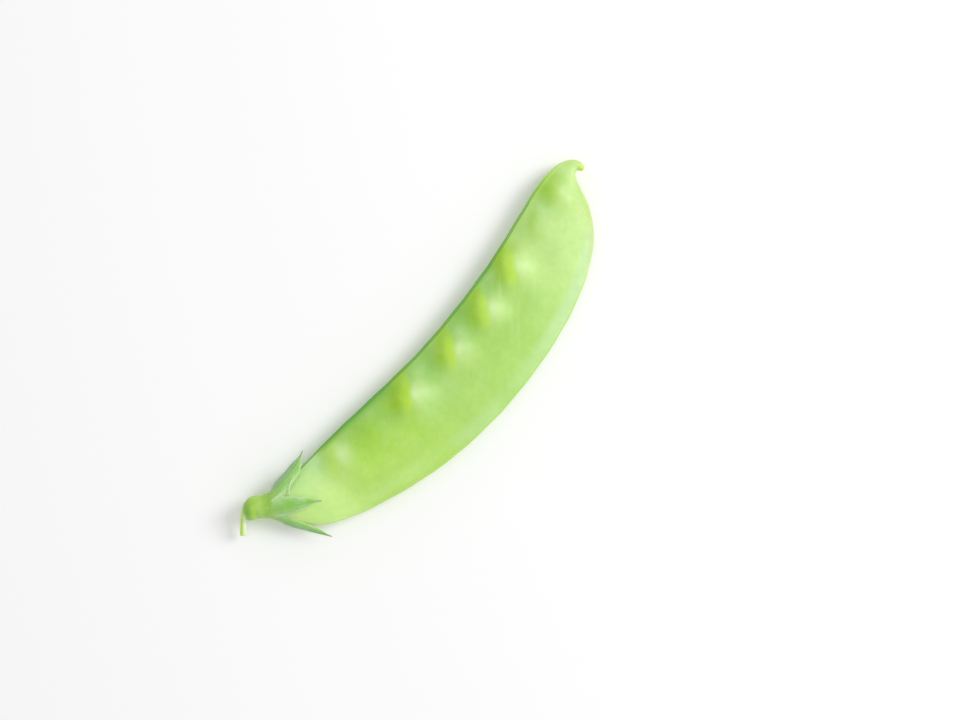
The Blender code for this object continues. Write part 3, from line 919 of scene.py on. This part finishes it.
def makeStalk():
    sides, rings = stalkShape["sides"], stalkShape["rings"]
    turns = [2 * math.pi * k / sides for k in range(sides)]
    outline = [Vector((0, math.cos(a), math.sin(a))) * mm for a in turns]
    piece = drawLine("stalkStem", outline, closed=True)
    stations = []
    for n, (ox, oy, ix, iy) in enumerate(throughStations(stalkShape["stations"], rings)):
        half = math.hypot(ox - ix, oy - iy) / 2
        yaw = Matrix.Rotation(math.atan2(ix - ox, oy - iy), 3, "Z")
        drop = -stalkShape["drop"] * (n / (rings - 1))**2
        stations.append(station(((ox + ix) / 2, (oy + iy) / 2, drop), yaw, half, half))
    sweepDrawn(stations)
    closeEnds(piece, sides)
    bpy.ops.object.mode_set(mode="OBJECT")
    # along: 0 in the calyx, 1 at the cut; across: 1 on the outer side of the bend, -1 inside
    count = rings * sides
    paintMask(piece, "along", [(i // sides) / (rings - 1) for i in range(count)] + [0.0, 1.0])
    paintMask(piece, "across", [math.cos(turns[i % sides]) for i in range(count)] + [0.0, 0.0])
    subdivide(piece, 2)
    return piece


stalkLook = {
    "colors": {
        "rim": (0.42, 0.70, 0.12), "knob": (0.39, 0.67, 0.08), "knobShade": (0.27, 0.55, 0.06),
        "stem": (0.58, 0.80, 0.13), "stemPale": (0.80, 0.94, 0.60), "cut": (0.62, 0.74, 0.34),
    },
    "clouds": {"Scale": 600.0, "Amount": 0.4},
    "grain": {"Cell Scale": 4500.0, "Vein Scale": 1200.0, "Vein Share": 0.4},
    "grainDepth": 0.03,
    "shader": {"Roughness": 0.45, "Subsurface Weight": 0.2, "Subsurface Scale": 0.001,
               "Sheen Weight": 0.1},
}


def makeStalkSkin():
    material, tree, shader, place = newSkin("stalkSkin", stalkLook["shader"])
    along, across = maskOf(tree, "along"), maskOf(tree, "across")
    colors = stalkLook["colors"]
    knob = mixColors(tree, ramp(tree, along, 0.22, 0.42), colors["knob"], colors["knobShade"])
    rim = band(tree, along, 0.0, 0.06, 0.10, 0.22)
    knob = tinted(tree, knob, colors["rim"], 0.6, [rim])
    stem = mixColors(tree, ramp(tree, across, 0.5, -0.6), colors["stem"], colors["stemPale"])
    color = mixColors(tree, ramp(tree, along, 0.40, 0.58), knob, stem)
    color = mixColors(tree, ramp(tree, along, 0.985, 0.998), color, colors["cut"])
    color = clouded(tree, place, color, stalkLook["clouds"])
    grain = useGroup(tree, fineGrain, {"Vector": place, **stalkLook["grain"]})
    feedShader(tree, shader, color, grain["Height"], stalkLook["grainDepth"] * mm)
    return material


# the dry threads left of the stamens

threadShape = {
    "radius": 0.10,
    "taper": 0.6,  # how much thinner a strand is at its end
    "colors": [(0.86, 0.95, 0.72), (0.70, 0.86, 0.48)],
    "shader": {"Roughness": 0.6, "Subsurface Weight": 0.1, "Subsurface Scale": 0.0005},
    # node, and its strands, each a row of places in mm
    "pieces": {
        "threadNearSuture": ("stamen_near_suture", [
            [(1.9, -0.4, 1.6), (2.5, -0.65, 2.3), (3.5, -0.85, 2.6), (4.8, -1.0, 2.6),
             (5.9, -1.1, 2.4)],
            [(2.1, -1.1, 1.7), (3.0, -1.35, 2.3), (4.0, -1.55, 2.45), (4.9, -1.6, 2.4),
             (5.5, -1.4, 2.35)]]),
        "threadMiddle": ("stamen_middle", [
            [(5.3, -2.6, 2.0), (5.7, -2.15, 2.3), (6.2, -1.6, 2.4), (6.9, -1.15, 2.4),
             (8.2, -0.65, 2.3), (9.7, -0.1, 2.1)],
            [(5.3, -3.0, 1.8), (5.8, -2.8, 2.15), (6.2, -2.4, 2.2)]]),
        "threadNearBelly": ("stamen_near_belly", [
            [(1.9, -3.8, 1.6), (3.1, -4.75, 1.9), (4.4, -5.3, 2.05), (5.7, -5.85, 2.1),
             (6.9, -6.55, 2.1)]]),
    },
}


def makeThread(name, strands):
    bpy.ops.curve.primitive_bezier_curve_add()
    piece = bpy.context.object
    piece.name = piece.data.name = name
    piece.data.splines.clear()
    for points in strands:
        spline = piece.data.splines.new("BEZIER")
        spline.bezier_points.add(len(points) - 1)
        for k, (point, place) in enumerate(zip(spline.bezier_points, points)):
            point.co = Vector(place) * mm
            point.handle_left_type = point.handle_right_type = "AUTO"
            point.radius = 1 - threadShape["taper"] * k / (len(points) - 1)
    piece.data.bevel_depth = threadShape["radius"] * mm
    piece.data.bevel_resolution = 3
    piece.data.use_fill_caps = True
    bpy.ops.object.convert(target="MESH")
    return piece


def makeThreadSkin():
    material, tree, shader, place = newSkin("threadSkin", threadShape["shader"])
    patchy = noise(tree, place, 900.0, 2.0)
    color = mixColors(tree, ramp(tree, patchy, 0.4, 0.65), *threadShape["colors"])
    feedShader(tree, shader, color, noise(tree, place, 6000.0, 2.0), 0.02 * mm)
    return material


# build the plant

podSkin, leafSkin = makePodSkin(), makeLeafSkin()
stalkSkin, threadSkin = makeStalkSkin(), makeThreadSkin()
print("skins mixed")
finishPiece(makePod(), ["pod"], podSkin)
print("pod made")
calyxNodes = ["calyx_tube", "sepal_suture_top", "sepal_side_top", "sepal_belly",
              "sepal_side_under", "sepal_suture_under"]
finishPiece(makeCalyx(), calyxNodes, leafSkin)
print("calyx made")
finishPiece(makeStalk(), ["stalk"], stalkSkin)
for name, (node, strands) in threadShape["pieces"].items():
    finishPiece(makeThread(name, strands), [node], threadSkin)
print("stalk and threads made")


# table, light and camera

room = {
    # metres, degrees and watts, and the lens in mm
    "floor": {"size": 4, "color": (0.97, 0.97, 0.97), "roughness": 0.8, "glow": 0.05},
    "skyStrength": 0.6,
    "view": {"azimuth": -47.06, "elevation": 85.0, "distance": 0.4135, "lens": 85.0,
             "clipStart": 0.01, "target": (0.0069, -0.0025, 0.003)},
    # azimuth, elevation, distance, size, watts: azimuths count as the camera's, so 43 is its right
    "lights": {"keyLight": (62, 38, 0.8, 0.38, 3.5), "topLight": (-47, 80, 1.0, 0.6, 0.6)},
}


def makeRoom():
    bpy.ops.mesh.primitive_plane_add(size=room["floor"]["size"])
    floor = bpy.context.object
    floor.name = "floor"
    material = bpy.data.materials.new("tablePaper")
    material.use_nodes = True
    shader = material.node_tree.nodes["Principled BSDF"]
    shader.inputs["Base Color"].default_value = (*room["floor"]["color"], 1)
    shader.inputs["Roughness"].default_value = room["floor"]["roughness"]
    shader.inputs["Emission Color"].default_value = (1, 1, 1, 1)
    shader.inputs["Emission Strength"].default_value = room["floor"]["glow"]
    floor.data.materials.append(material)
    world = bpy.data.worlds.new("softRoom")
    world.use_nodes = True
    sky = world.node_tree.nodes["Background"]
    sky.inputs["Color"].default_value = (1, 1, 1, 1)
    sky.inputs["Strength"].default_value = room["skyStrength"]
    bpy.context.scene.world = world


def wayTo(azimuth, elevation):
    a, e = math.radians(azimuth), math.radians(elevation)
    return Vector((math.sin(a) * math.cos(e), -math.cos(a) * math.cos(e), math.sin(e)))


def aimFrom(name, data, way, place):
    thing = bpy.data.objects.new(name, data)
    bpy.context.scene.collection.objects.link(thing)
    thing.location = place
    thing.rotation_euler = way.to_track_quat("Z", "Y").to_euler()
    return thing


makeRoom()
for name, (azimuth, elevation, distance, size, watts) in room["lights"].items():
    light = bpy.data.lights.new(name, "AREA")
    light.size = size
    light.energy = watts
    way = wayTo(azimuth, elevation)
    aimFrom(name, light, way, way * distance)

view = room["view"]
way = wayTo(view["azimuth"], view["elevation"])
camera = bpy.data.cameras.new("camera")
camera.lens = view["lens"]
camera.clip_start = view["clipStart"]
place = Vector(view["target"]) + way * view["distance"]
bpy.context.scene.camera = aimFrom("camera", camera, way, place)
bpy.context.scene.view_settings.view_transform = "Standard"
print("room lit")
